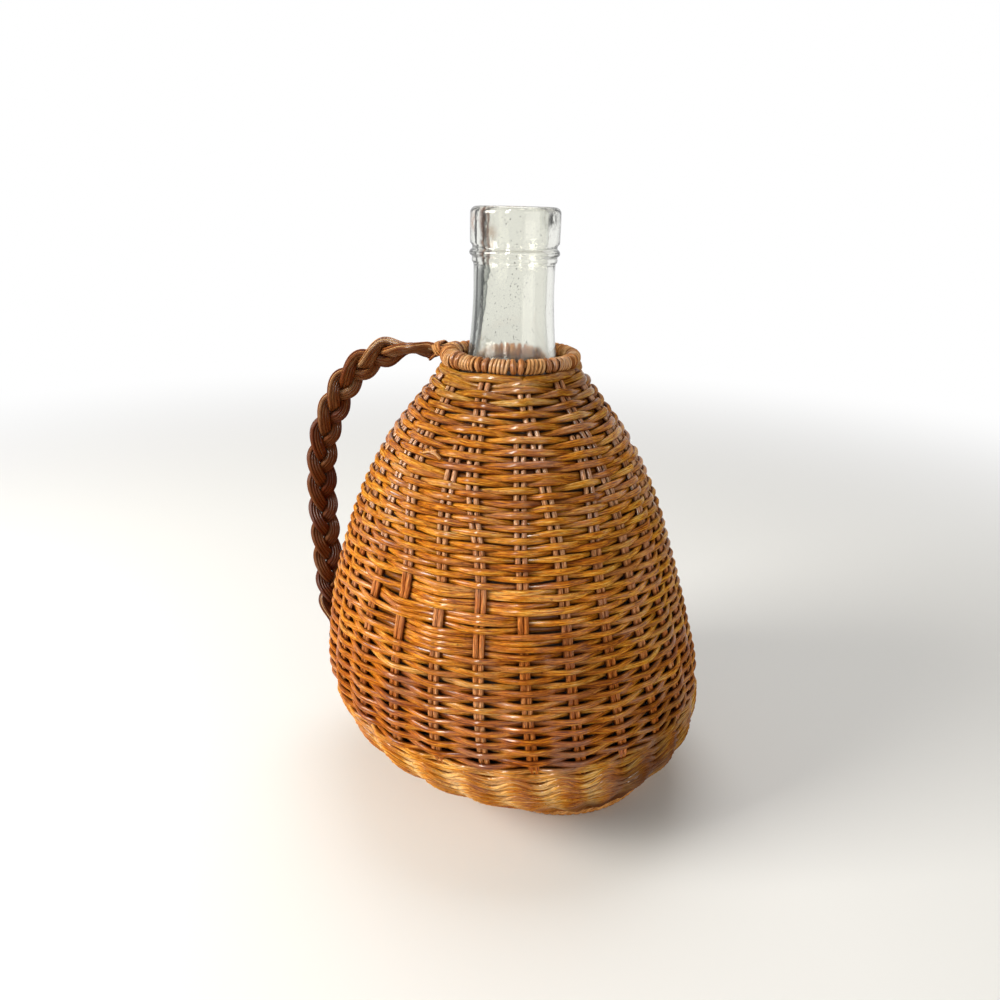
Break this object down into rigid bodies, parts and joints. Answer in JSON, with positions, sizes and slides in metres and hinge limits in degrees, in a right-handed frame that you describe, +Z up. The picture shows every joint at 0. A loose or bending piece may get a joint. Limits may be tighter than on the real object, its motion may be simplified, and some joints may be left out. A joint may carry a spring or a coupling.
{
  "type": "wicker-cased bottle",
  "caption": "Clear glass bottle with a banded lip, cased up to its neck in woven cane with a wrapped rim and a plaited cane handle on one side.",
  "frame": {"origin": "on the neck's axis, on the flat surface that the foot rests on", "axes": "+Z up along the neck's axis; -Y is the pictured front; the plaited handle is on the -X side, turned 10 degrees towards the back (+Y)"},
  "size_m": [0.1976, 0.1824, 0.2723],
  "materials": {
    "clear_glass": "clear, smooth, faintly grey-green soda glass, slightly wavy, with a brown stain at the lip",
    "golden_cane": "varnished round cane, golden orange to olive brown, glossy on the crowns of the rods",
    "red_brown_cane": "varnished round cane, reddish brown, darker in the gaps",
    "shoulder_cane": "varnished round cane, orange brown with olive streaks",
    "foot_cane": "lighter tan varnished cane, tightly packed",
    "base_cane": "plain brown cane, dull varnish",
    "stake_cane": "round cane uprights, mid brown, thin varnish",
    "rim_cane": "narrow tan cane, satin varnish",
    "handle_cane": "dark brown reeds, satin varnish worn lighter along the top"
  },
  "bodies": {
    "root": {"glass_bottle": "clear_glass", "base_weave": "base_cane", "base_stick_1": "base_cane", "base_stick_2": "base_cane", "base_stick_3": "base_cane", "base_stick_4": "base_cane", "base_stick_5": "base_cane", "base_stick_6": "base_cane", "base_stick_7": "base_cane", "base_stick_8": "base_cane", "foot_border": "foot_cane", "foot_wale": "foot_cane", "stake_pair_01": "stake_cane", "stake_pair_02": "stake_cane", "stake_pair_03": "stake_cane", "stake_pair_04": "stake_cane", "stake_pair_05": "stake_cane", "stake_pair_06": "stake_cane", "stake_pair_07": "stake_cane", "stake_pair_08": "stake_cane", "stake_pair_09": "stake_cane", "stake_pair_10": "stake_cane", "stake_pair_11": "stake_cane", "stake_pair_12": "stake_cane", "stake_pair_13": "stake_cane", "stake_pair_14": "stake_cane", "stake_pair_15": "stake_cane", "stake_pair_16": "stake_cane", "stake_pair_17": "stake_cane", "stake_pair_18": "stake_cane", "stake_pair_19": "stake_cane", "stake_pair_20": "stake_cane", "stake_pair_21": "stake_cane", "stake_pair_22": "stake_cane", "stake_pair_23": "stake_cane", "stake_pair_24": "stake_cane", "stake_pair_25": "stake_cane", "stake_pair_26": "stake_cane", "stake_pair_27": "stake_cane", "stake_pair_28": "stake_cane", "lower_weave": "red_brown_cane", "middle_weave": "golden_cane", "upper_weave": "golden_cane", "shoulder_weave": "shoulder_cane", "rim_core": "rim_cane", "rim_wrap": "rim_cane", "handle_strand_1": "handle_cane", "handle_strand_2": "handle_cane", "handle_strand_3": "handle_cane", "handle_lashing": "rim_cane"}
  },
  "joints": []
}
